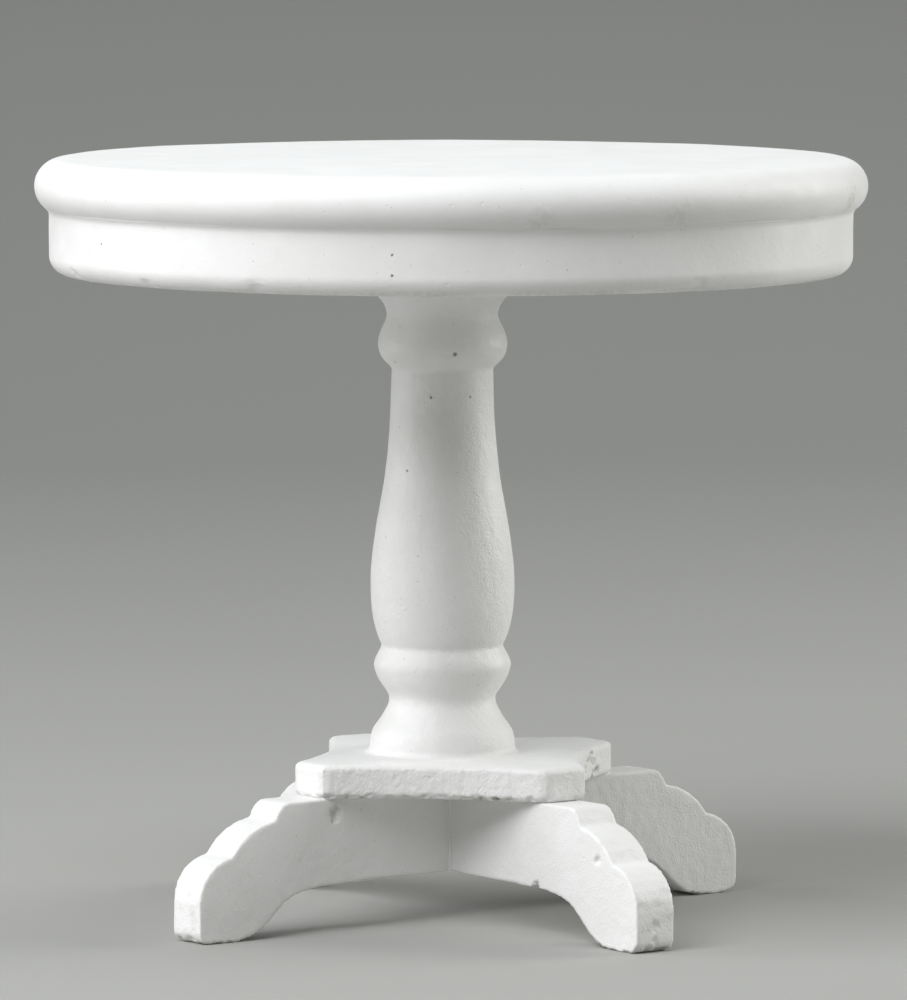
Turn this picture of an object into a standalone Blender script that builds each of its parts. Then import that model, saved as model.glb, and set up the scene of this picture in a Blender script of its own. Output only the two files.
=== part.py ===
"""Miniature round pedestal dining table for a 1:12 dolls' house, painted white.

A round top with a bullnose edge lies on a slightly smaller apron disc.  A turned column carries both.
The column stands on a square plate with incurved sides and canted corners.  Four flat-cut scalloped
legs run out under the plate's corners and butt against a small centre block.  Two dowels hold the
column at its head and foot.  Units are metres, +Z is up, and the origin is on the floor under the
centre of the top.
"""
import math

import bmesh
import bpy

# ---- driving dimensions (metres) ----
MM = 0.001
TABLE_HEIGHT = 63.5 * MM
JOINT_GAP = 0.3 * MM              # clearance kept between glued faces

TOP_RADIUS = 34.6 * MM
TOP_THICKNESS = 4.55 * MM
APRON_RADIUS = 33.4 * MM
APRON_DEPTH = 4.7 * MM
APRON_DRAFT = 0.12 * MM           # the apron is this much narrower at its upper edge
APRON_EDGE_ROUND = 1.5 * MM

COLUMN_CENTER = (-0.73 * MM, -0.10 * MM)   # the column stands a little off the top's centre
BASE_CENTER = (0.31 * MM, 0.04 * MM)

PLATE_TOP = 13.9 * MM
PLATE_THICKNESS = 2.7 * MM
PLATE_CANT_DISTANCE = 15.2 * MM   # from the plate's centre to each canted corner face
PLATE_CANT_WIDTH = 4.1 * MM
PLATE_SIDE_SAG = 1.5 * MM         # how far each side curves in
PLATE_CORNER_TRIM = 0.6 * MM      # length that each corner's rounding takes off its two sides

LEG_THICKNESS = 3.8 * MM
BLOCK_WIDTH = LEG_THICKNESS + 0.4 * MM
LEG_UNDERSIDE = 4.15 * MM         # height of the leg's flat underside near the block
LEG_REACH = 27.45 * MM            # from the base's centre to the leg's end face
SHELF_LOBE_CENTER = 18.4 * MM     # each lobe's centre is counted from the base's centre
SHELF_LOBE_RADIUS = 1.45 * MM
MIDDLE_LOBE_CENTER = (19.2 * MM, 3.80 * MM)
MIDDLE_LOBE_RADIUS = 5.95 * MM
END_LOBE_HEIGHT = 3.35 * MM       # height of the end lobe's centre
END_LOBE_RADIUS = 3.70 * MM
TOE_RADIUS = 1.0 * MM

DOWEL_RADIUS = 1.2 * MM
DOWEL_DEPTH_IN_TOP = 2.2 * MM
DOWEL_DEPTH_IN_COLUMN = 7.0 * MM
HOLE_RADIUS = DOWEL_RADIUS + JOINT_GAP
CUT_PAST = 1.0 * MM               # a cutter runs this far past the face that it opens

EDGE_SOFTENING = 0.3 * MM         # painted edges are never quite sharp
SHARP_ANGLE = math.radians(35)
FLAT_ANGLE = math.radians(1)

# Each leg's direction, counted from +X, and how much longer it is than LEG_REACH.
LEGS = {
    "leg_front_left": (math.radians(225.0), 0.0),
    "leg_front_right": (math.radians(314.3), 0.0),
    "leg_rear_right": (math.radians(44.5), 1.1 * MM),
    "leg_rear_left": (math.radians(133.0), 0.0),
}

# ---- heights worked out from the above ----
TOP_UNDERSIDE = TABLE_HEIGHT - TOP_THICKNESS
APRON_TOP = TOP_UNDERSIDE - JOINT_GAP
APRON_BOTTOM = APRON_TOP - APRON_DEPTH
COLUMN_TOP = APRON_BOTTOM - JOINT_GAP
COLUMN_BOTTOM = PLATE_TOP + JOINT_GAP
PLATE_BOTTOM = PLATE_TOP - PLATE_THICKNESS
LEG_TOP = PLATE_BOTTOM - JOINT_GAP

# ---- the column's turned profile, as (radius, height) down its outer side ----
# Three smooth stretches meet at two sharp creases, one under the upper bead and one over the lower.
HEAD_CURVE = ((6.10, 53.3), (5.75, 52.4), (4.95, 51.5), (4.60, 50.4), (5.05, 49.3), (5.38, 48.1),
              (5.06, 46.9), (4.26, 46.1))
VASE_CURVE = ((4.24, 45.6), (4.31, 43.0), (4.49, 40.0), (4.86, 36.6), (5.44, 33.3), (5.88, 30.1),
              (6.00, 28.0), (5.87, 25.6), (5.46, 23.8), (5.07, 22.9))
FOOT_CURVE = ((5.40, 22.2), (5.74, 21.2), (5.28, 19.9), (4.58, 18.9), (4.44, 18.1), (5.10, 16.8),
              (5.80, 15.8), (6.06, 14.8))

# The underside of a leg, as (distance from the base's centre, height), from the heel of its foot inwards.
INSTEP_CURVE = ((23.5, 0.0), (21.9, 0.42), (20.4, 1.50), (18.9, 2.85), (17.1, 3.60), (14.5, 3.95))

# ---- facets ----
ROUND_TOP_STEPS = 72
ROUND_COLUMN_STEPS = 36
DOWEL_STEPS = 24
PLATE_SIDE_STEPS = 8
CURVE_STEPS = 2                   # straight pieces between two points of a curve
ARC_STEP = math.radians(15)


def remove_everything():
    for old in list(bpy.data.objects):
        bpy.data.objects.remove(old, do_unlink=True)


def new_collection(name):
    collection = bpy.data.collections.new(name)
    bpy.context.scene.collection.children.link(collection)
    return collection


def principled(name, color, roughness):
    material = bpy.data.materials.new(name)
    material.use_nodes = True
    shader = material.node_tree.nodes["Principled BSDF"]
    shader.inputs["Base Color"].default_value = (*color, 1.0)
    shader.inputs["Roughness"].default_value = roughness
    shader.inputs["Metallic"].default_value = 0.0
    material.diffuse_color = (*color, 1.0)
    return material


def white_paint(name):
    return principled(name + "_paint", (0.86, 0.87, 0.85), 0.42)


def bare_wood(name):
    return principled(name + "_birch", (0.70, 0.52, 0.33), 0.65)


def add_object(name, mesh, collection, material):
    created = bpy.data.objects.new(name, mesh)
    collection.objects.link(created)
    mesh.materials.clear()
    mesh.materials.append(material)
    return created


def smooth_round(mesh):
    mesh.shade_smooth()
    mesh.set_sharp_from_angle(angle=SHARP_ANGLE)


# ---- outlines: lists of (x, y) points ----
def arc(center, radius, start, end, steps=None):
    """Points along a circle from angle start to angle end, both ends included."""
    steps = steps or max(2, math.ceil(abs(end - start) / ARC_STEP))
    angles = [start + (end - start) * i / steps for i in range(steps + 1)]
    return [(center[0] + radius * math.cos(a), center[1] + radius * math.sin(a)) for a in angles]


def smooth_curve(points):
    """A Catmull-Rom curve through points given in millimetres, returned in metres."""
    ends = [points[0], *points, points[-1]]
    curve = []
    for a, b, c, d in zip(ends, ends[1:], ends[2:], ends[3:]):
        for i in range(CURVE_STEPS):
            t = i / CURVE_STEPS
            curve.append(tuple(
                0.5 * (2 * q + (r - p) * t + (2 * p - 5 * q + 4 * r - s) * t**2
                       + (3 * q - p - 3 * r + s) * t**3)
                for p, q, r, s in zip(a, b, c, d)))
    return [(x * MM, y * MM) for x, y in [*curve, points[-1]]]


# ---- shapes ----
def turned(name, profile, center, steps, collection, material):
    """A solid of revolution.  The profile runs from the axis, down the outer side, to the axis."""
    mesh = bpy.data.meshes.new(name)
    edges = [(i, i + 1) for i in range(len(profile) - 1)]
    mesh.from_pydata([(radius, 0.0, height) for radius, height in profile], edges, [])
    created = add_object(name, mesh, collection, material)
    created.location = (center[0], center[1], 0.0)
    screw = created.modifiers.new("turn", "SCREW")
    screw.axis = "Z"
    screw.steps = steps
    screw.render_steps = steps
    screw.use_merge_vertices = True
    screw.merge_threshold = 0.00001
    screw.use_smooth_shade = True
    return created


def flat_piece(name, outline, thickness, collection, material):
    """A flat board of the outline, lying in XY and centred on z = 0, made as a mesh."""
    curve = bpy.data.curves.new(name, "CURVE")
    curve.dimensions = "2D"
    curve.fill_mode = "BOTH"
    curve.extrude = thickness / 2
    spline = curve.splines.new("POLY")
    spline.points.add(len(outline) - 1)
    for point, (x, y) in zip(spline.points, outline):
        point.co = (x, y, 0.0, 1.0)
    spline.use_cyclic_u = True
    drawn = bpy.data.objects.new(name + "_outline", curve)
    collection.objects.link(drawn)
    evaluated = drawn.evaluated_get(bpy.context.evaluated_depsgraph_get())
    mesh = bpy.data.meshes.new_from_object(evaluated)
    bpy.data.objects.remove(drawn, do_unlink=True)
    welded = bmesh.new()
    welded.from_mesh(mesh)
    bmesh.ops.remove_doubles(welded, verts=welded.verts, dist=0.000001)
    bmesh.ops.dissolve_limit(welded, angle_limit=FLAT_ANGLE, verts=welded.verts, edges=welded.edges)
    bmesh.ops.recalc_face_normals(welded, faces=welded.faces)
    welded.to_mesh(mesh)
    welded.free()
    mesh.name = name
    return add_object(name, mesh, collection, material)


def soften_edges(created):
    bevel = created.modifiers.new("softened_edges", "BEVEL")
    bevel.width = EDGE_SOFTENING
    bevel.segments = 1
    bevel.limit_method = "ANGLE"
    bevel.angle_limit = SHARP_ANGLE


def drill(created, name, low, high, cutters):
    """Cuts the column's vertical dowel hole from height low to height high."""
    bpy.ops.mesh.primitive_cylinder_add(vertices=DOWEL_STEPS, radius=HOLE_RADIUS, depth=high - low)
    cutter = bpy.context.object
    cutter.name = name
    cutter.location = (*COLUMN_CENTER, (low + high) / 2)
    cutter.hide_render = True
    cutter.display_type = "WIRE"
    for other in list(cutter.users_collection):
        other.objects.unlink(cutter)
    cutters.objects.link(cutter)
    cut = created.modifiers.new(name, "BOOLEAN")
    cut.operation = "DIFFERENCE"
    cut.solver = "EXACT"
    cut.object = cutter


# ---- sub-parts ----
def table_top(parts, cutters):
    edge_radius = TOP_THICKNESS / 2
    middle = TABLE_HEIGHT - edge_radius
    bullnose = arc((TOP_RADIUS - edge_radius, middle), edge_radius, math.pi / 2, -math.pi / 2)
    profile = [(0.0, TABLE_HEIGHT), *bullnose, (0.0, TOP_UNDERSIDE)]
    top = turned("table_top", profile, (0.0, 0.0), ROUND_TOP_STEPS, parts, white_paint("table_top"))
    hole_end = TOP_UNDERSIDE + DOWEL_DEPTH_IN_TOP + JOINT_GAP
    drill(top, "top_dowel_hole", TOP_UNDERSIDE - CUT_PAST, hole_end, cutters)


def apron(parts, cutters):
    corner = (APRON_RADIUS - APRON_EDGE_ROUND, APRON_BOTTOM + APRON_EDGE_ROUND)
    lower_edge = arc(corner, APRON_EDGE_ROUND, 0.0, -math.pi / 2)
    profile = [(0.0, APRON_TOP), (APRON_RADIUS - APRON_DRAFT, APRON_TOP), *lower_edge, (0.0, APRON_BOTTOM)]
    disc = turned("apron", profile, (0.0, 0.0), ROUND_TOP_STEPS, parts, white_paint("apron"))
    drill(disc, "apron_dowel_hole", APRON_BOTTOM - CUT_PAST, APRON_TOP + CUT_PAST, cutters)


def column(parts):
    head = smooth_curve(HEAD_CURVE)
    vase = smooth_curve(VASE_CURVE)
    foot = smooth_curve(FOOT_CURVE)
    hole_top = COLUMN_TOP - DOWEL_DEPTH_IN_COLUMN - JOINT_GAP
    hole_foot = COLUMN_BOTTOM + DOWEL_DEPTH_IN_COLUMN + JOINT_GAP
    profile = [
        (0.0, hole_top), (HOLE_RADIUS, hole_top), (HOLE_RADIUS, COLUMN_TOP), (head[0][0], COLUMN_TOP),
        *head, *vase, *foot,
        (foot[-1][0], COLUMN_BOTTOM), (HOLE_RADIUS, COLUMN_BOTTOM), (HOLE_RADIUS, hole_foot), (0.0, hole_foot),
    ]
    turned("column", profile, COLUMN_CENTER, ROUND_COLUMN_STEPS, parts, white_paint("column"))


def rounded_corner(before, corner, after):
    """Two points of the smooth curve that leaves before and reaches after, pulled to the corner."""
    curve = []
    for t in (0.5, 1.0):
        curve.append(tuple((1 - t)**2 * a + 2 * t * (1 - t) * b + t**2 * c
                           for a, b, c in zip(before, corner, after)))
    return curve


def turned_about_center(point, angle):
    x, y = point
    return (x * math.cos(angle) - y * math.sin(angle), x * math.sin(angle) + y * math.cos(angle))


def plate_outline():
    """A square with incurved sides and canted corners, counter-clockwise about its centre."""
    half_cant = PLATE_CANT_WIDTH / 2
    half_side = (PLATE_CANT_DISTANCE - half_cant) * math.sqrt(0.5)
    side_distance = (PLATE_CANT_DISTANCE + half_cant) * math.sqrt(0.5)
    curve_radius = (half_side**2 + PLATE_SIDE_SAG**2) / (2 * PLATE_SIDE_SAG)
    half_angle = math.asin(half_side / curve_radius) - PLATE_CORNER_TRIM / curve_radius
    curve_center = (side_distance - PLATE_SIDE_SAG + curve_radius, 0.0)
    side = arc(curve_center, curve_radius, math.pi + half_angle, math.pi - half_angle, PLATE_SIDE_STEPS)
    along_cant = PLATE_CORNER_TRIM * math.sqrt(0.5)
    on_cant = (side_distance - along_cant, half_side + along_cant)
    corner = rounded_corner(side[-1], (side_distance, half_side), on_cant)
    other_corner = [(x, -y) for x, y in reversed(corner)]
    return [turned_about_center(point, quarter * math.pi / 2)
            for quarter in range(4) for point in (*other_corner, *side, *corner)]


def base_plate(parts, cutters):
    plate = flat_piece("base_plate", plate_outline(), PLATE_THICKNESS, parts, white_paint("base_plate"))
    plate.location = (*BASE_CENTER, (PLATE_TOP + PLATE_BOTTOM) / 2)
    soften_edges(plate)
    drill(plate, "plate_dowel_hole", PLATE_BOTTOM - CUT_PAST, PLATE_TOP + CUT_PAST, cutters)


def leg_outline(extra_length):
    """The leg's side view, as (distance from the base's centre, height), clockwise from its inner end."""
    inner_end = BLOCK_WIDTH / 2 + JOINT_GAP - extra_length
    shelf_center = (SHELF_LOBE_CENTER, LEG_TOP - SHELF_LOBE_RADIUS)
    end_center = (LEG_REACH - END_LOBE_RADIUS, END_LOBE_HEIGHT)
    toe_center = (LEG_REACH - TOE_RADIUS, TOE_RADIUS)
    shelf_lobe = arc(shelf_center, SHELF_LOBE_RADIUS, math.radians(90), math.radians(10))
    middle_lobe = arc(MIDDLE_LOBE_CENTER, MIDDLE_LOBE_RADIUS, math.radians(83), math.radians(33))
    end_lobe = arc(end_center, END_LOBE_RADIUS, math.radians(84), 0.0)
    toe = arc(toe_center, TOE_RADIUS, 0.0, math.radians(-90))
    instep = smooth_curve(INSTEP_CURVE)
    return [(inner_end, LEG_TOP), *shelf_lobe, *middle_lobe, *end_lobe, *toe, *instep,
            (inner_end, LEG_UNDERSIDE)]


def legs(parts):
    for name, (direction, extra_length) in LEGS.items():
        leg = flat_piece(name, leg_outline(extra_length), LEG_THICKNESS, parts, white_paint(name))
        leg.rotation_euler = (math.pi / 2, 0.0, direction)
        leg.location = (BASE_CENTER[0] + extra_length * math.cos(direction),
                        BASE_CENTER[1] + extra_length * math.sin(direction), 0.0)
        soften_edges(leg)


def center_block(parts):
    height = LEG_TOP - LEG_UNDERSIDE
    bpy.ops.mesh.primitive_cube_add(size=1.0)
    cube = bpy.context.object
    cube.scale = (BLOCK_WIDTH, BLOCK_WIDTH, height)
    bpy.ops.object.transform_apply(location=False, rotation=False, scale=True)
    mesh = cube.data
    bpy.data.objects.remove(cube, do_unlink=True)
    block = add_object("center_block", mesh, parts, white_paint("center_block"))
    block.rotation_euler = (0.0, 0.0, math.pi / 4)
    block.location = (*BASE_CENTER, LEG_UNDERSIDE + height / 2)


def dowel(name, low, high, parts):
    bpy.ops.mesh.primitive_cylinder_add(vertices=DOWEL_STEPS, radius=DOWEL_RADIUS, depth=high - low)
    cylinder = bpy.context.object
    mesh = cylinder.data
    bpy.data.objects.remove(cylinder, do_unlink=True)
    smooth_round(mesh)
    peg = add_object(name, mesh, parts, bare_wood(name))
    peg.location = (*COLUMN_CENTER, (low + high) / 2)
    soften_edges(peg)


def dowels(parts):
    dowel("head_dowel", COLUMN_TOP - DOWEL_DEPTH_IN_COLUMN, TOP_UNDERSIDE + DOWEL_DEPTH_IN_TOP, parts)
    dowel("foot_dowel", PLATE_BOTTOM, COLUMN_BOTTOM + DOWEL_DEPTH_IN_COLUMN, parts)


def main():
    remove_everything()
    parts = new_collection("miniature_pedestal_table")
    cutters = new_collection("cutters")
    table_top(parts, cutters)
    apron(parts, cutters)
    column(parts)
    base_plate(parts, cutters)
    legs(parts)
    center_block(parts)
    dowels(parts)


main()
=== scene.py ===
"""The looks of the miniature pedestal dining table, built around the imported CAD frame.

Every painted piece is a fine mesh made from its CAD node's own size and place: the turned pieces are
revolved from profiles, and the flat-cut pieces are the CAD solids closed up against their neighbours,
remeshed and softened the way brushed paint softens small wooden edges.  The two dowels stay CAD meshes.
"""
import math

import bmesh
import bpy
import numpy as np
from mathutils import Matrix, Vector, noise


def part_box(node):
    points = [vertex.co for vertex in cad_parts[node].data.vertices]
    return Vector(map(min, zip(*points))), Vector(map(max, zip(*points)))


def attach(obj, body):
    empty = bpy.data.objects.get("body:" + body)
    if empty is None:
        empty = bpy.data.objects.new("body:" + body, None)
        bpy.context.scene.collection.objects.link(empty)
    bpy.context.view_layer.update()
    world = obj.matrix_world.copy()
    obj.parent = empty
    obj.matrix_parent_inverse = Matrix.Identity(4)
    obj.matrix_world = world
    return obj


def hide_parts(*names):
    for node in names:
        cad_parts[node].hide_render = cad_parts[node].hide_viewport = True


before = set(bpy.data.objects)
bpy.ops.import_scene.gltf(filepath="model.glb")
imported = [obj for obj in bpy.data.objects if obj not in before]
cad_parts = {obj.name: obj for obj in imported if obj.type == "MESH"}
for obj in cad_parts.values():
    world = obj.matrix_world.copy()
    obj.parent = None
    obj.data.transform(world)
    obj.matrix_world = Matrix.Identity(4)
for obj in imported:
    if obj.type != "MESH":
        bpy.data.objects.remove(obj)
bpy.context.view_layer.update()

MM = 0.001

# ---- paint and wood (base colours are linear) ----
PAINT_LIGHT = (0.875, 0.875, 0.87)
PAINT_DARK = (0.845, 0.845, 0.835)
# Dust, wear, cracks, darker spots and the painted shade on the apron's lower edge all blend towards this
# colour.
WEAR_DIRT_AND_SHADE_COLOR = (0.44, 0.42, 0.36)
PIT_COLOR = (0.30, 0.29, 0.25)
SPECK_COLOR = (0.15, 0.07, 0.04)
WOOD_LIGHT = (0.70, 0.52, 0.33)
WOOD_DARK = (0.50, 0.33, 0.18)

# ---- turned pieces ----
TURNED_SEGMENTS = 720
COLUMN_SEGMENTS = 240
BORE_SEGMENTS = 48
COLUMN_STEP = 0.13 * MM
COLUMN_BLUR = 0.16 * MM           # how far paint softens the turned profile
FOOT_FLARE = 0.60 * MM            # the paint's fillet where the column meets the plate
HEAD_FLARE = 0.22 * MM            # and where it meets the apron
FLARE_LEVELS = 9
COVE = 0.70 * MM                  # the paint's fillet between the apron and the top
APRON_EDGE_ROUND = 1.5 * MM
TOP_FACE_STEP = 0.9 * MM          # the spacing of the rings across each flat round face
TOP_UNDERSIDE_STEP = 1.5 * MM
APRON_FACE_STEP = 2.5 * MM
APRON_UNDERSIDE_STEP = 1.2 * MM

# ---- flat pieces ----
VOXEL = 0.16 * MM
OVERLAP = 0.03 * MM               # how far a closed joint's two faces pass each other
LEG_INTO_BLOCK = 0.7 * MM
JOINT_BLEND = 0.5 * MM            # a piece stretched to close a gap keeps its shape past this distance
PLATE_SHARE_OF_GAP = 0.4          # how much of the gap between plate and legs each side closes, so that
LEG_SHARE_OF_GAP = 0.7            # together they overlap a little
PLATE_TEAR = 0.60 * MM            # how deep the plate's end grain is torn at its lower edge
PLATE_TEAR_LIFT = 0.22 * MM
PLATE_PORE = 0.07 * MM
FOOT_WEAR = 0.30 * MM

# ---- unevenness under the paint, as layers of noise, each with its size and depth ----
TOP_UNEVENNESS = ((9 * MM, 0.035 * MM), (1.6 * MM, 0.010 * MM))
APRON_UNEVENNESS = ((7 * MM, 0.05 * MM), (1.2 * MM, 0.012 * MM))
COLUMN_UNEVENNESS = ((5 * MM, 0.05 * MM), (1.1 * MM, 0.014 * MM))
CUT_UNEVENNESS = ((4 * MM, 0.05 * MM), (0.9 * MM, 0.018 * MM))
BLOCK_UNEVENNESS = ((2 * MM, 0.02 * MM),)
FIRST_LEG_SEED = 51
LEG_SEED_STEP = 7

# ---- the paint's orange peel: its depth on each piece ----
TOP_PEEL = 0.014 * MM
APRON_PEEL = 0.018 * MM
COLUMN_PEEL = 0.070 * MM
PLATE_PEEL = 0.065 * MM
LEG_PEEL = 0.045 * MM

# ---- sizes of the paint's other features ----
PEEL_SIZE = 0.19 * MM
PEEL_PATCH = 5 * MM               # the peel fades in and out over patches this wide
BRUSHING_SIZE = 0.9 * MM
PINHOLE_SPACING = 2.2 * MM
WEAR_SIZE = 0.45 * MM
SHADE_SIZE = 6 * MM               # the slow drift between the two whites
DUST_SIZE = 0.30 * MM
SHEEN_SIZE = 2.5 * MM

# ---- the ragged outlines of marks and cracks; raggedness and reach count radii or half widths ----
MARK_RAGGEDNESS = 0.6
MARK_GRAIN = 0.3 * MM
MARK_REACH = 1.6
CRACK_RAGGEDNESS = 1.1
CRACK_GRAIN = 0.45 * MM
CRACK_REACH = 3.0

# ---- blemishes, listed one by one; each ends with its radius in millimetres and its depth or strength ----
# On the round pieces and the plate: degrees round from the front, positive to the right, and share of height.
APRON_CHIPS = ((-60, 0.04, 0.7, 0.16), (-40, 0.0, 0.6, 0.14), (-20, 0.0, 0.9, 0.10), (45, 0.0, 0.9, 0.10))
# Darker spots low on the top's rounded edge, right of the front.
TOP_DARK_SPOTS = ((80, 0.3, 1.3, 0.45), (40, 0.2, 1.6, 0.18), (20, 0.2, 1.4, 0.18))
APRON_PITS = ((0, 0.4, 0.16, 1.0), (0, 0.75, 0.14, 1.0), (-50, 0.7, 0.12, 0.8))
COLUMN_SPECKS = ((20, 0.84, 0.26, 0.8),)
COLUMN_PITS = ((-5, 0.75, 0.16, 1.0), (40, 0.75, 0.17, 0.6), (-30, 0.6, 0.15, 0.9), (-45, 0.8, 0.14, 0.7))
PLATE_STAINS = ((20, 0.0, 2.2, 1.0),)
# Cracks run from one such place to another, with their half width and depth.
PLATE_CRACKS = ((95, 0.3, 110, 0.8, 0.30, 0.45), (110, 0.0, 120, 0.3, 0.30, 0.45),
                (105, 0.6, 115, 0.5, 0.22, 0.25))
# On a leg: share of its length, side (1 left of outward, 0 its end, -1 right of outward) and share of
# its height.
LEG_DENTS = {
    "leg_front_left": ((0.5, 1, 0.9, 0.7, 0.30),),
    "leg_front_right": ((0.5, -1, 0.35, 0.6, 0.45), (0.8, -1, 0.65, 0.5, 0.30),
                        (1.0, 0, 0.2, 0.5, 0.15), (1.0, 0, 0.1, 0.4, 0.15)),
}


def node_center(name):
    low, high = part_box(name)
    return (low + high) / 2


# ================================ meshes ================================
def add_piece(name, mesh, slot, *nodes):
    piece = bpy.data.objects.new(name, mesh)
    bpy.context.scene.collection.objects.link(piece)
    mesh.shade_smooth()
    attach(piece, "root")
    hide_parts(*nodes)
    return piece


def face_outwards(mesh):
    shape = bmesh.new()
    shape.from_mesh(mesh)
    bmesh.ops.recalc_face_normals(shape, faces=shape.faces)
    shape.to_mesh(mesh)
    shape.free()


def revolved(name, profile, center, segments):
    """A closed solid of revolution from (radius, height) points that start and end on the axis."""
    points, rings = [], []
    for radius, height in profile:
        count = segments if radius > 0 else 1
        rings.append([len(points) + k for k in range(count)])
        for k in range(count):
            turn = 2 * math.pi * k / segments
            points.append((center.x + radius * math.cos(turn), center.y + radius * math.sin(turn), height))
    faces = []
    for upper, lower in zip(rings, rings[1:]):
        for k in range(segments):
            corners = [upper[k % len(upper)], upper[(k + 1) % len(upper)],
                       lower[(k + 1) % len(lower)], lower[k % len(lower)]]
            faces.append(list(dict.fromkeys(corners)))
    mesh = bpy.data.meshes.new(name)
    mesh.from_pydata(points, [], faces)
    face_outwards(mesh)
    return mesh


def coordinates(mesh):
    flat = np.zeros(len(mesh.vertices) * 3)
    mesh.vertices.foreach_get("co", flat)
    return flat.reshape(-1, 3)


def normals(mesh):
    flat = np.zeros(len(mesh.vertices) * 3)
    mesh.vertices.foreach_get("normal", flat)
    return flat.reshape(-1, 3)


def move_to(mesh, points):
    mesh.vertices.foreach_set("co", points.ravel())
    mesh.update()


def noise_at(points, size, seed):
    """Smooth noise from about -1 to 1 at each point, with features of that size."""
    offset = Vector((seed * 7.1, seed * 3.7, seed * 5.3))
    return np.array([noise.noise(Vector(p) / size + offset) for p in points])


def roughen(mesh, seed, layers):
    """Moves the surface in and out by a few layers of noise, each given as (size, depth)."""
    points = coordinates(mesh)
    moved = sum(depth * noise_at(points, size, seed + k) for k, (size, depth) in enumerate(layers))
    move_to(mesh, points + normals(mesh) * moved[:, None])


def nearest(points, target):
    """The mesh point nearest to target, in millimetres."""
    return points[np.argmin(np.linalg.norm(points - np.array(target), axis=1))] / MM


def place_around(points, node, angle, share):
    """The place on a piece that lies that way from its node's centre, at that share of the node's height."""
    low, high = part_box(node)
    center = (low + high) / 2
    reach = (high.x - low.x) / 2
    turn = math.radians(angle)
    height = low.z + share * (high.z - low.z)
    return nearest(points, (center.x + reach * math.sin(turn), center.y - reach * math.cos(turn), height))


def marks_around(mesh, node, table):
    """The table's marks, as (place, radius, amount), with each place found on the mesh."""
    points = coordinates(mesh)
    return [(place_around(points, node, angle, share), radius, amount)
            for angle, share, radius, amount in table]


def cracks_around(mesh, node, table):
    """The table's cracks, as (start, end, half width, depth), with both ends found on the mesh."""
    points = coordinates(mesh)
    found = []
    for start_angle, start_share, end_angle, end_share, half_width, depth in table:
        start = place_around(points, node, start_angle, start_share)
        end = place_around(points, node, end_angle, end_share)
        found.append((start, end, half_width, depth))
    return found


def marks_on_leg(mesh, node, base, outward):
    """The leg's own marks, each found on its surface from shares of its length and height and its side."""
    low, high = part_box(node)
    points = coordinates(mesh)
    sideways = Vector((-outward.y, outward.x, 0.0))
    from_base = points - np.array(base)
    length = (from_base @ np.array(outward)).max()
    half_width = np.abs(from_base @ np.array(sideways)).max()
    found = []
    for share, side, height, radius, amount in LEG_DENTS.get(node, ()):
        place = base + outward * (share * length) + sideways * (side * half_width)
        place.z = low.z + height * (high.z - low.z)
        found.append((nearest(points, place), radius, amount))
    return found


def mark_strength(points, marks):
    """How much each point belongs to the ragged marks, from 0 to each mark's own depth or strength."""
    strength = np.zeros(len(points))
    for place, radius, amount in marks:
        distance = np.linalg.norm(points / MM - np.array(place), axis=1) / radius
        near = distance < MARK_REACH
        distance[near] += MARK_RAGGEDNESS * noise_at(points[near], MARK_GRAIN, seed=12)
        strength = np.maximum(strength, amount * np.clip(1 - distance**2, 0, 1)**1.2)
    return strength


def crack_strength(points, cracks):
    """The same for cracks, each given as (start, end, half width, depth)."""
    strength = np.zeros(len(points))
    for start, end, width, amount in cracks:
        start, along = np.array(start), np.array(end) - np.array(start)
        from_start = points / MM - start
        t = np.clip(from_start @ along / (along @ along), 0, 1)
        distance = np.linalg.norm(from_start - t[:, None] * along, axis=1) / width
        near = distance < CRACK_REACH
        distance[near] += CRACK_RAGGEDNESS * noise_at(points[near], CRACK_GRAIN, seed=13)
        strength = np.maximum(strength, amount * np.clip(1 - distance**2, 0, 1))
    return strength


def dent(mesh, marks):
    """Presses ragged pits into the surface, each as deep as its mark says."""
    points = coordinates(mesh)
    depth = mark_strength(points, marks) * MM
    move_to(mesh, points - normals(mesh) * depth[:, None])


def store(mesh, name, values):
    attribute = mesh.attributes.new(name, "FLOAT", "POINT")
    attribute.data.foreach_set("value", np.asarray(values, np.float32))


def smooth_step(low, high, values):
    t = np.clip((values - low) / (high - low), 0.0, 1.0)
    return t * t * (3 - 2 * t)


# ---- turned pieces ----
def arc_points(center, radius, start, end, steps):
    """(radius, height) points along an arc, from one angle in degrees to another."""
    angles = np.radians(np.linspace(start, end, steps + 1))
    return [(center[0] + radius * math.cos(a), center[1] + radius * math.sin(a)) for a in angles]


def flat_rings(radius, height, step):
    """Ring radii across a flat round face, from the axis out to just short of radius."""
    count = int(radius / step)
    return [(radius * k / count, height) for k in range(count)]


def bore(piece, center, radius, low, high):
    """Drills a vertical hole for a dowel right through or part way into a piece."""
    bpy.ops.mesh.primitive_cylinder_add(vertices=BORE_SEGMENTS, radius=radius, depth=high - low)
    cutter = bpy.context.object
    cutter.location = (center.x, center.y, (low + high) / 2)
    cut = piece.modifiers.new("dowel_hole", "BOOLEAN")
    cut.operation = "DIFFERENCE"
    cut.solver = "EXACT"
    cut.object = cutter
    bpy.context.view_layer.update()
    evaluated = piece.evaluated_get(bpy.context.evaluated_depsgraph_get())
    drilled = bpy.data.meshes.new_from_object(evaluated)
    piece.modifiers.clear()
    piece.data = drilled
    bpy.data.objects.remove(cutter, do_unlink=True)


def dowel_radius():
    low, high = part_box("head_dowel")
    return (high.x - low.x) / 2


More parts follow.
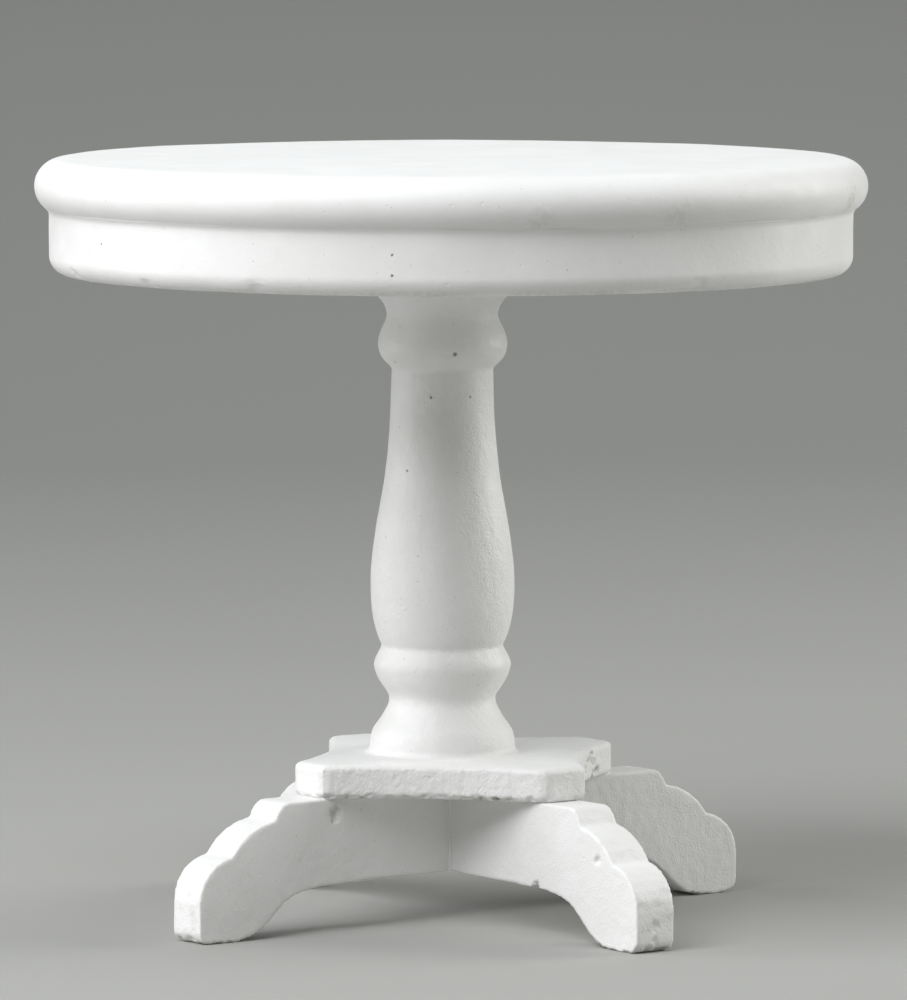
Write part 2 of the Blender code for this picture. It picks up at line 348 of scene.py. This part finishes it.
def tabletop_board():
    low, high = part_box("table_top")
    center = (low + high) / 2
    radius = (high.x - low.x) / 2
    nose = (high.z - low.z) / 2
    flat = radius - nose
    edge = arc_points((flat, center.z), nose, 90, -90, 36)
    top_face = flat_rings(flat, high.z, TOP_FACE_STEP)
    underside = list(reversed(flat_rings(flat, low.z, TOP_UNDERSIDE_STEP)))
    mesh = revolved("tabletop_board", [*top_face, *edge, *underside], center, TURNED_SEGMENTS)
    roughen(mesh, seed=11, layers=TOP_UNEVENNESS)
    # Darker spots low on the edge.
    dark_spots = marks_around(mesh, "table_top", TOP_DARK_SPOTS)
    store(mesh, "wear_and_shade", mark_strength(coordinates(mesh), dark_spots))
    return add_piece("tabletop_board", mesh, "top_paint", "table_top")


def apron_disc():
    low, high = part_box("apron")
    top_low, top_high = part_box("table_top")
    center = (low + high) / 2
    radius = (high.x - low.x) / 2
    nose = (top_high.z - top_low.z) / 2
    nose_center = (top_high.x - nose, top_low.z + nose)
    # The cove touches both the apron's wall and the round underside of the top's edge.
    across = radius + COVE - nose_center[0]
    drop = math.sqrt((nose + COVE)**2 - across**2)
    meets_nose = math.degrees(math.atan2(drop, -across))
    cove = arc_points((radius + COVE, nose_center[1] - drop), COVE, meets_nose, 180, 8)
    flat = radius - APRON_EDGE_ROUND
    edge_center = (flat, low.z + APRON_EDGE_ROUND)
    lower_edge = arc_points(edge_center, APRON_EDGE_ROUND, 0, -90, 16)
    wall_top = cove[-1][1] - 0.3 * MM
    wall_foot = edge_center[1] + 0.2 * MM
    wall = [(radius, z) for z in np.linspace(wall_top, wall_foot, 8)]
    top_face = flat_rings(nose_center[0], top_low.z + OVERLAP, APRON_FACE_STEP)
    underside = list(reversed(flat_rings(flat, low.z, APRON_UNDERSIDE_STEP)))
    profile = [*top_face, *cove, *wall, *lower_edge, *underside]
    mesh = revolved("apron_disc", profile, center, TURNED_SEGMENTS)
    roughen(mesh, seed=23, layers=APRON_UNEVENNESS)
    dent(mesh, marks_around(mesh, "apron", APRON_CHIPS))
    points = coordinates(mesh)
    # Painted shade: the apron's lower edge is darkened in patches towards its underside.
    lower_edge_painted_shade = 0.35 * (1 - smooth_step(low.z + 0.1 * MM, low.z + 0.7 * MM, points[:, 2]))
    store(mesh, "wear_and_shade", lower_edge_painted_shade * np.clip(0.5 + noise_at(points, 3 * MM, seed=8), 0, 1))
    return add_piece("apron_disc", mesh, "top_paint", "apron")


def cad_profile(node, center):
    """Height and outer radius of each ring of a turned CAD node, from its foot to its head."""
    points = coordinates(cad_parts[node].data)
    heights = np.round(points[:, 2], 6)
    radii = np.hypot(points[:, 0] - center.x, points[:, 1] - center.y)
    rings = np.unique(heights)
    outer = np.array([radii[heights == z].max() for z in rings])
    # The rings that only the dowel holes have are far narrower, and are left out.
    kept = outer > outer.max() * 0.5
    return rings[kept], outer[kept]


def through_points(heights, radii, fine):
    """A smooth curve through the rings, read at the heights in fine."""
    slopes = np.gradient(radii, heights)
    i = np.clip(np.searchsorted(heights, fine) - 1, 0, len(heights) - 2)
    gap = heights[i + 1] - heights[i]
    t = (fine - heights[i]) / gap
    return ((2 * t**3 - 3 * t**2 + 1) * radii[i] + (t**3 - 2 * t**2 + t) * gap * slopes[i]
            + (3 * t**2 - 2 * t**3) * radii[i + 1] + (t**3 - t**2) * gap * slopes[i + 1])


def blurred(values, step, width):
    reach = int(3 * width / step)
    offsets = np.arange(-reach, reach + 1) * step
    weights = np.exp(-0.5 * (offsets / width)**2)
    padded = np.pad(values, reach, mode="edge")
    return np.convolve(padded, weights / weights.sum(), mode="valid")


def turned_column():
    center = node_center("column")
    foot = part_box("base_plate")[1].z - OVERLAP
    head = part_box("apron")[0].z + OVERLAP
    heights, radii = cad_profile("column", center)
    count = int((head - foot) / COLUMN_STEP)
    fine = np.linspace(foot, head, count + 1)
    inside = np.clip(fine, heights[0], heights[-1])
    outer = blurred(through_points(heights, radii, inside), (head - foot) / count, COLUMN_BLUR)
    hole = dowel_radius() + OVERLAP
    head_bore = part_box("head_dowel")[0].z - OVERLAP
    foot_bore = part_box("foot_dowel")[1].z + OVERLAP
    shares = np.linspace(0, 1, FLARE_LEVELS)**2
    levels = np.unique(np.concatenate([fine, foot + FOOT_FLARE * shares, head - HEAD_FLARE * shares]))
    radius = np.interp(levels, fine, outer)
    for end, flare in ((foot, FOOT_FLARE), (head, HEAD_FLARE)):
        # A quarter circle of paint, level with the wall at one end and with the neighbour at the other.
        t = np.clip(np.abs(levels - end) / flare, 0, 1)
        radius += flare * (1 - np.sqrt(1 - (1 - t)**2))
    side = list(zip(radius[::-1], levels[::-1]))
    profile = [(0.0, head_bore), (hole, head_bore), (hole, head), *side,
               (hole, foot), (hole, foot_bore), (0.0, foot_bore)]
    mesh = revolved("turned_column", profile, center, COLUMN_SEGMENTS)
    roughen(mesh, seed=37, layers=COLUMN_UNEVENNESS)
    store(mesh, "wear_and_shade", np.zeros(len(mesh.vertices)))
    return add_piece("turned_column", mesh, "column_paint", "column")


# ---- flat-cut pieces ----
def remeshed(name, mesh, smoothing):
    """The solid as an even fine mesh with its edges softened."""
    work = bpy.data.objects.new(name + "_work", mesh)
    bpy.context.scene.collection.objects.link(work)
    remesh = work.modifiers.new("remesh", "REMESH")
    remesh.mode = "VOXEL"
    remesh.voxel_size = VOXEL
    smooth = work.modifiers.new("smooth", "SMOOTH")
    smooth.factor = 0.5
    smooth.iterations = smoothing
    evaluated = work.evaluated_get(bpy.context.evaluated_depsgraph_get())
    made = bpy.data.meshes.new_from_object(evaluated)
    made.name = name
    bpy.data.objects.remove(work, do_unlink=True)
    return made


def cad_copy(node):
    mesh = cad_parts[node].data.copy()
    shape = bmesh.new()
    shape.from_mesh(mesh)
    bmesh.ops.remove_doubles(shape, verts=shape.verts, dist=0.000001)
    shape.to_mesh(mesh)
    shape.free()
    return mesh


def fray_plate(mesh, underside):
    """Breaks up the lower edge and face of the two sides where the plate's end grain shows."""
    points = coordinates(mesh)
    facing = np.abs(normals(mesh)[:, 1])
    end_grain = smooth_step(0.25, 0.8, facing)
    near_underside = 1 - smooth_step(underside + 0.1 * MM, underside + 0.8 * MM, points[:, 2])
    broad, fine = noise_at(points, 0.8 * MM, seed=3), noise_at(points, 0.3 * MM, seed=4)
    ragged = np.clip(broad + 0.5 * fine + 0.1, 0, 1)
    torn = end_grain * near_underside * ragged
    pores = end_grain * np.clip(noise_at(points, 0.35 * MM, seed=6), 0, 1)
    toward_middle = -np.sign(points[:, 1])
    points[:, 1] += toward_middle * (PLATE_TEAR * torn + PLATE_PORE * pores)
    points[:, 2] += PLATE_TEAR_LIFT * torn
    move_to(mesh, points)


def plate_board():
    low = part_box("base_plate")[0]
    leg_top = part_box("leg_front_left")[1].z
    mesh = cad_copy("base_plate")
    points = coordinates(mesh)
    drop = 1 - smooth_step(low.z, low.z + JOINT_BLEND, points[:, 2])
    points[:, 2] -= (low.z - leg_top) * PLATE_SHARE_OF_GAP * drop
    move_to(mesh, points)
    mesh = remeshed("plate_board", mesh, 2)
    roughen(mesh, seed=41, layers=CUT_UNEVENNESS)
    fray_plate(mesh, leg_top)
    points = coordinates(mesh)
    stains = marks_around(mesh, "base_plate", PLATE_STAINS)
    depth = crack_strength(points, cracks_around(mesh, "base_plate", PLATE_CRACKS))
    points -= normals(mesh) * (MM * depth)[:, None]
    move_to(mesh, points)
    cracked = np.clip(3 * depth, 0, 1)
    stained = mark_strength(points, stains)
    ragged = np.clip(0.5 + 1.5 * noise_at(points, 0.5 * MM, seed=9), 0, 1)
    near_underside = 1 - smooth_step(leg_top + 0.3 * MM, leg_top + 0.9 * MM, points[:, 2])
    store(mesh, "wear_and_shade", np.maximum(cracked, stained * near_underside) * ragged)
    return add_piece("plate_board", mesh, "plate_paint", "base_plate")


def fray_foot(mesh, seed):
    """Wears the lower edges of a foot unevenly, without lifting its sole off the floor."""
    points = coordinates(mesh)
    facing = normals(mesh)
    upright = np.abs(facing[:, 2])
    level = np.hypot(facing[:, 0], facing[:, 1])
    edge = smooth_step(0.15, 0.5, upright) * smooth_step(0.15, 0.5, level)
    near_floor = 1 - smooth_step(0.1 * MM, 1.0 * MM, points[:, 2])
    ragged = np.clip(noise_at(points, 0.7 * MM, seed=seed + 2) + 0.2, 0, 1)
    points -= facing * (FOOT_WEAR * edge * near_floor * ragged)[:, None]
    points[:, 2] = np.maximum(points[:, 2], 0.0)
    move_to(mesh, points)


def leg_piece(node, seed):
    low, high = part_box(node)
    plate_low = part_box("base_plate")[0].z
    base = node_center("base_plate")
    outward = (low + high) / 2 - base
    outward = Vector((outward.x, outward.y, 0.0)).normalized()
    mesh = cad_copy(node)
    points = coordinates(mesh)
    reach = (points - np.array(base)) @ np.array(outward)
    inner = 1 - smooth_step(reach.min(), reach.min() + JOINT_BLEND, reach)
    points -= np.array(outward) * (LEG_INTO_BLOCK * inner)[:, None]
    rise = smooth_step(high.z - JOINT_BLEND, high.z, points[:, 2])
    points[:, 2] += (plate_low - high.z) * LEG_SHARE_OF_GAP * rise
    move_to(mesh, points)
    mesh = remeshed(node + "_cut", mesh, 3)
    roughen(mesh, seed=seed, layers=CUT_UNEVENNESS)
    fray_foot(mesh, seed)
    marks = marks_on_leg(mesh, node, base, outward)
    dent(mesh, marks)
    points = coordinates(mesh)
    dented = np.clip(2 * mark_strength(points, marks), 0, 1)
    cap = smooth_step(0.6, 0.9, normals(mesh) @ np.array(outward))
    dusty = 0.5 * cap * np.clip(noise_at(points, 1.1 * MM, seed=seed + 4), 0, 1)
    sole = 0.5 * (1 - smooth_step(0.0, 0.5 * MM, points[:, 2]))
    store(mesh, "wear_and_shade", np.maximum.reduce([dented, dusty, sole]))
    return add_piece(node + "_cut", mesh, "leg_paint", node)


def hub_block():
    plate_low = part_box("base_plate")[0].z
    block_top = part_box("center_block")[1].z
    mesh = cad_copy("center_block")
    points = coordinates(mesh)
    on_top = points[:, 2] > block_top - 0.1 * MM
    points[:, 2] += np.where(on_top, (plate_low - block_top) * LEG_SHARE_OF_GAP, 0.0)
    move_to(mesh, points)
    mesh = remeshed("hub_block", mesh, 2)
    roughen(mesh, seed=97, layers=BLOCK_UNEVENNESS)
    store(mesh, "wear_and_shade", np.zeros(len(mesh.vertices)))
    return add_piece("hub_block", mesh, "leg_paint", "center_block")


# ================================ materials ================================
class Nodes:
    """Short calls for building one material's node tree."""

    def __init__(self, name):
        self.material = bpy.data.materials.new(name)
        self.material.use_nodes = True
        self.tree = self.material.node_tree
        self.shader = self.tree.nodes["Principled BSDF"]
        place = self.tree.nodes.new("ShaderNodeTexCoord")
        self.place = place.outputs["Object"]

    def link(self, output, socket):
        self.tree.links.new(output, socket)

    def noise(self, size, detail=2.0, place=None):
        """Noise with features of that size in metres, from 0 to 1."""
        made = self.tree.nodes.new("ShaderNodeTexNoise")
        made.inputs["Scale"].default_value = 1 / size
        made.inputs["Detail"].default_value = detail
        self.link(place or self.place, made.inputs["Vector"])
        return made.outputs[0]

    def cells(self, size):
        """Distance to the nearest of many scattered points, about size apart."""
        made = self.tree.nodes.new("ShaderNodeTexVoronoi")
        made.inputs["Scale"].default_value = 1 / size
        self.link(self.place, made.inputs["Vector"])
        return made.outputs["Distance"]

    def range(self, value, low, high, to_low, to_high):
        """Maps low..high smoothly onto to_low..to_high, and stays level outside."""
        made = self.tree.nodes.new("ShaderNodeMapRange")
        made.interpolation_type = "SMOOTHSTEP"
        self.link(value, made.inputs["Value"])
        made.inputs["From Min"].default_value = low
        made.inputs["From Max"].default_value = high
        made.inputs["To Min"].default_value = to_low
        made.inputs["To Max"].default_value = to_high
        return made.outputs["Result"]

    def math(self, operation, first, second):
        made = self.tree.nodes.new("ShaderNodeMath")
        made.operation = operation
        for socket, value in zip(made.inputs, (first, second)):
            if isinstance(value, float):
                socket.default_value = value
            else:
                self.link(value, socket)
        return made.outputs[0]

    def mix(self, amount, first, second):
        """Blends from the first colour to the second by amount."""
        made = self.tree.nodes.new("ShaderNodeMix")
        made.data_type = "RGBA"
        self.link(amount, made.inputs[0])
        for socket, color in ((made.inputs[6], first), (made.inputs[7], second)):
            if isinstance(color, tuple):
                socket.default_value = (*color, 1.0)
            else:
                self.link(color, socket)
        return made.outputs[2]

    def attribute(self, name):
        made = self.tree.nodes.new("ShaderNodeAttribute")
        made.attribute_name = name
        return made.outputs["Fac"]

    def marks(self, marks):
        """1 at the middle of each small mark, given in millimetres, and 0 away from them all."""
        whole = None
        for place, radius, strength in marks:
            apart = self.tree.nodes.new("ShaderNodeVectorMath")
            apart.operation = "DISTANCE"
            self.link(self.place, apart.inputs[0])
            apart.inputs[1].default_value = [x * MM for x in place]
            one = self.range(apart.outputs["Value"], 0.3 * radius * MM, radius * MM, strength, 0.0)
            whole = one if whole is None else self.math("MAXIMUM", whole, one)
        return whole

    def bump(self, height, distance, below=None):
        made = self.tree.nodes.new("ShaderNodeBump")
        made.inputs["Distance"].default_value = distance
        self.link(height, made.inputs["Height"])
        if below is not None:
            self.link(below, made.inputs["Normal"])
        return made.outputs["Normal"]

    def stretched(self, scale):
        made = self.tree.nodes.new("ShaderNodeMapping")
        made.inputs["Scale"].default_value = scale
        self.link(self.place, made.inputs["Vector"])
        return made.outputs["Vector"]


def paint(name, peel_depth, pits=(), specks=()):
    """Brushed satin white paint with orange peel, sparse pits and specks, places of wear, and painted shade,
    as the wear_and_shade attribute gives them.
    """
    n = Nodes(name)
    wear_grain = n.range(n.noise(WEAR_SIZE, 4.0), 0.38, 0.60, 0.25, 1.0)
    wear_and_shade = n.math("MULTIPLY", n.attribute("wear_and_shade"), wear_grain)
    shade = n.range(n.noise(SHADE_SIZE, 3.0), 0.35, 0.65, 0.0, 1.0)
    dust = n.range(n.noise(DUST_SIZE, 1.0), 0.75, 0.80, 0.0, 0.5)
    color = n.mix(shade, PAINT_LIGHT, PAINT_DARK)
    color = n.mix(dust, color, WEAR_DIRT_AND_SHADE_COLOR)
    # Places of wear, the darker spots and the painted shade on the apron's lower edge blend towards the
    # greyed colour.
    color = n.mix(wear_and_shade, color, WEAR_DIRT_AND_SHADE_COLOR)
    dull = n.range(n.noise(SHEEN_SIZE, 3.0), 0.3, 0.7, 0.42, 0.58)
    n.link(n.math("ADD", dull, n.math("MULTIPLY", wear_and_shade, 0.3)), n.shader.inputs["Roughness"])
    patches = n.range(n.noise(PEEL_PATCH, 1.0), 0.35, 0.65, 0.65, 1.0)
    surface = n.bump(n.math("MULTIPLY", patches, n.noise(PEEL_SIZE, 2.0)), peel_depth)
    surface = n.bump(n.noise(BRUSHING_SIZE, 2.0), 1.2 * peel_depth, surface)
    surface = n.bump(n.range(n.cells(PINHOLE_SPACING), 0.0, 0.09, 0.0, 1.0), 0.03 * MM, surface)
    roughened = n.math("MULTIPLY", n.attribute("wear_and_shade"), n.noise(0.3 * MM, 4.0))
    surface = n.bump(roughened, 0.15 * MM, surface)
    if pits:
        holes = n.marks(pits)
        color = n.mix(holes, color, PIT_COLOR)
        surface = n.bump(n.math("SUBTRACT", 1.0, holes), 0.08 * MM, surface)
    if specks:
        color = n.mix(n.marks(specks), color, SPECK_COLOR)
    n.link(color, n.shader.inputs["Base Color"])
    n.link(surface, n.shader.inputs["Normal"])
    return n.material


def bare_wood(name):
    n = Nodes(name)
    along = n.stretched((1.0, 1.0, 0.06))
    fibre = n.noise(0.25 * MM, 5.0, along)
    n.link(n.mix(n.range(fibre, 0.35, 0.65, 0.0, 1.0), WOOD_LIGHT, WOOD_DARK), n.shader.inputs["Base Color"])
    n.link(n.range(fibre, 0.3, 0.7, 0.55, 0.75), n.shader.inputs["Roughness"])
    n.link(n.bump(fibre, 0.03 * MM), n.shader.inputs["Normal"])
    return n.material


def dress(piece, material):
    piece.data.materials.clear()
    piece.data.materials.append(material)


# ================================ the object ================================
def build():
    top = tabletop_board()
    disc = apron_disc()
    column = turned_column()
    plate = plate_board()
    leg_names = ("leg_front_left", "leg_front_right", "leg_rear_right", "leg_rear_left")
    legs = [leg_piece(name, FIRST_LEG_SEED + LEG_SEED_STEP * k) for k, name in enumerate(leg_names)]
    block = hub_block()

    center = node_center("column")
    hole = dowel_radius() + OVERLAP
    head_low, head_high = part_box("head_dowel")
    foot_low, foot_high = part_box("foot_dowel")
    bore(top, center, hole, head_low.z, head_high.z + OVERLAP)
    bore(disc, center, hole, head_low.z, head_high.z)
    bore(plate, center, hole, foot_low.z - MM, foot_high.z)

    dress(top, paint("top_white", TOP_PEEL))
    apron_pits = marks_around(disc.data, "apron", APRON_PITS)
    dress(disc, paint("apron_white", APRON_PEEL, pits=apron_pits))
    column_pits = marks_around(column.data, "column", COLUMN_PITS)
    column_specks = marks_around(column.data, "column", COLUMN_SPECKS)
    dress(column, paint("column_white", COLUMN_PEEL, pits=column_pits, specks=column_specks))
    dress(plate, paint("plate_white", PLATE_PEEL))
    leg_paint = paint("leg_white", LEG_PEEL)
    for piece in (*legs, block):
        dress(piece, leg_paint)
    for node in ("head_dowel", "foot_dowel"):
        dress(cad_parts[node], bare_wood(node + "_wood"))


# ================================ the studio ================================
AZIMUTH = math.radians(8)
PITCH = math.radians(5.009)
CAMERA_DISTANCE = 700 * MM
CAMERA_HEIGHT = 96.3 * MM
CAMERA_SIDE = 0.19 * MM
LENS = 303.5                      # lens and sensor are in millimetres
SENSOR_WIDTH = 36.0

# Each light's degrees round from the camera's side (positive to the right) and above the floor, its
# distance and size in metres, its watts and its colour.
LIGHTS = {
    "key_above": (-41, 46, 0.6, 0.45, 3.7, (0.97, 0.98, 1.0)),
    "fill_left": (-96, 14, 0.6, 0.35, 1.45, (0.98, 0.99, 1.0)),
    "fill_right": (107, 18, 0.6, 0.35, 2.35, (1.0, 1.0, 0.98)),
    "overhead": (30, 80, 0.6, 0.40, 0.62, (0.90, 0.95, 1.0)),
    "sheen_behind": (180, 28, 0.7, 0.45, 0.4, (0.86, 0.93, 1.0)),
}
AIM_HEIGHT = 30 * MM
WORLD_COLOR = (1.0, 0.99, 0.82, 1.0)
WORLD_STRENGTH = 0.10

# The floor's lengths are in metres, counted from the table away from the camera.
FLOOR_FRONT = -1.2
FLOOR_FLAT_END = 0.45
FLOOR_BEND_RADIUS = 0.6
FLOOR_BEND_DEGREES = 80
FLOOR_HALF_WIDTH = 2.0
FLOOR_FLAT_STEPS = 4
FLOOR_BEND_STEPS = 32
FLOOR_COLOR = (0.37, 0.37, 0.355, 1.0)
FLOOR_ROUGHNESS = 0.9

RIGHT = Vector((math.cos(AZIMUTH), math.sin(AZIMUTH), 0.0))
FORWARD = Vector((-math.sin(AZIMUTH), math.cos(AZIMUTH), 0.0))
UP = Vector((0.0, 0.0, 1.0))


def camera():
    data = bpy.data.cameras.new("camera")
    data.sensor_width = SENSOR_WIDTH
    data.lens = LENS
    data.clip_start = 0.01
    data.clip_end = 20.0
    made = bpy.data.objects.new("camera", data)
    bpy.context.scene.collection.objects.link(made)
    look = FORWARD * math.cos(PITCH) - UP * math.sin(PITCH)
    up = FORWARD * math.sin(PITCH) + UP * math.cos(PITCH)
    turn = Matrix((RIGHT, up, -look)).transposed().to_4x4()
    place = RIGHT * CAMERA_SIDE - FORWARD * CAMERA_DISTANCE + UP * CAMERA_HEIGHT
    made.matrix_world = Matrix.Translation(place) @ turn
    bpy.context.scene.camera = made


def softbox(name, around, elevation, distance, size, watts, color):
    """A square light aimed at the table."""
    data = bpy.data.lights.new(name, "AREA")
    data.shape = "SQUARE"
    data.size = size
    data.energy = watts
    data.color = color
    made = bpy.data.objects.new(name, data)
    bpy.context.scene.collection.objects.link(made)
    angle, rise = math.radians(around), math.radians(elevation)
    flat = RIGHT * math.sin(angle) - FORWARD * math.cos(angle)
    away = flat * math.cos(rise) + UP * math.sin(rise)
    made.rotation_mode = "QUATERNION"
    made.rotation_quaternion = away.to_track_quat("Z", "Y")
    made.location = Vector((0.0, 0.0, AIM_HEIGHT)) + away * distance


def lights():
    for name, settings in LIGHTS.items():
        softbox(name, *settings)
    world = bpy.data.worlds.new("room")
    world.use_nodes = True
    surround = world.node_tree.nodes["Background"]
    surround.inputs["Color"].default_value = WORLD_COLOR
    surround.inputs["Strength"].default_value = WORLD_STRENGTH
    bpy.context.scene.world = world


def studio_floor():
    """A pale sheet that lies flat under the table and sweeps up far behind it."""
    line = [(FLOOR_FRONT, 0.0)]
    line += [(FLOOR_FLAT_END * k / FLOOR_FLAT_STEPS, 0.0) for k in range(FLOOR_FLAT_STEPS)]
    for angle in np.radians(np.linspace(0, FLOOR_BEND_DEGREES, FLOOR_BEND_STEPS + 1)):
        away = FLOOR_FLAT_END + FLOOR_BEND_RADIUS * math.sin(angle)
        line.append((away, FLOOR_BEND_RADIUS * (1 - math.cos(angle))))
    points = [tuple(FORWARD * away + RIGHT * across + UP * height)
              for away, height in line for across in (-FLOOR_HALF_WIDTH, FLOOR_HALF_WIDTH)]
    faces = [(2 * k, 2 * k + 1, 2 * k + 3, 2 * k + 2) for k in range(len(line) - 1)]
    mesh = bpy.data.meshes.new("studio_floor")
    mesh.from_pydata(points, [], faces)
    mesh.shade_smooth()
    floor = bpy.data.objects.new("studio_floor", mesh)
    bpy.context.scene.collection.objects.link(floor)
    material = bpy.data.materials.new("studio_paper")
    material.use_nodes = True
    shader = material.node_tree.nodes["Principled BSDF"]
    shader.inputs["Base Color"].default_value = FLOOR_COLOR
    shader.inputs["Roughness"].default_value = FLOOR_ROUGHNESS
    dress(floor, material)


build()
camera()
lights()
studio_floor()
bpy.context.scene.view_settings.view_transform = "Standard"
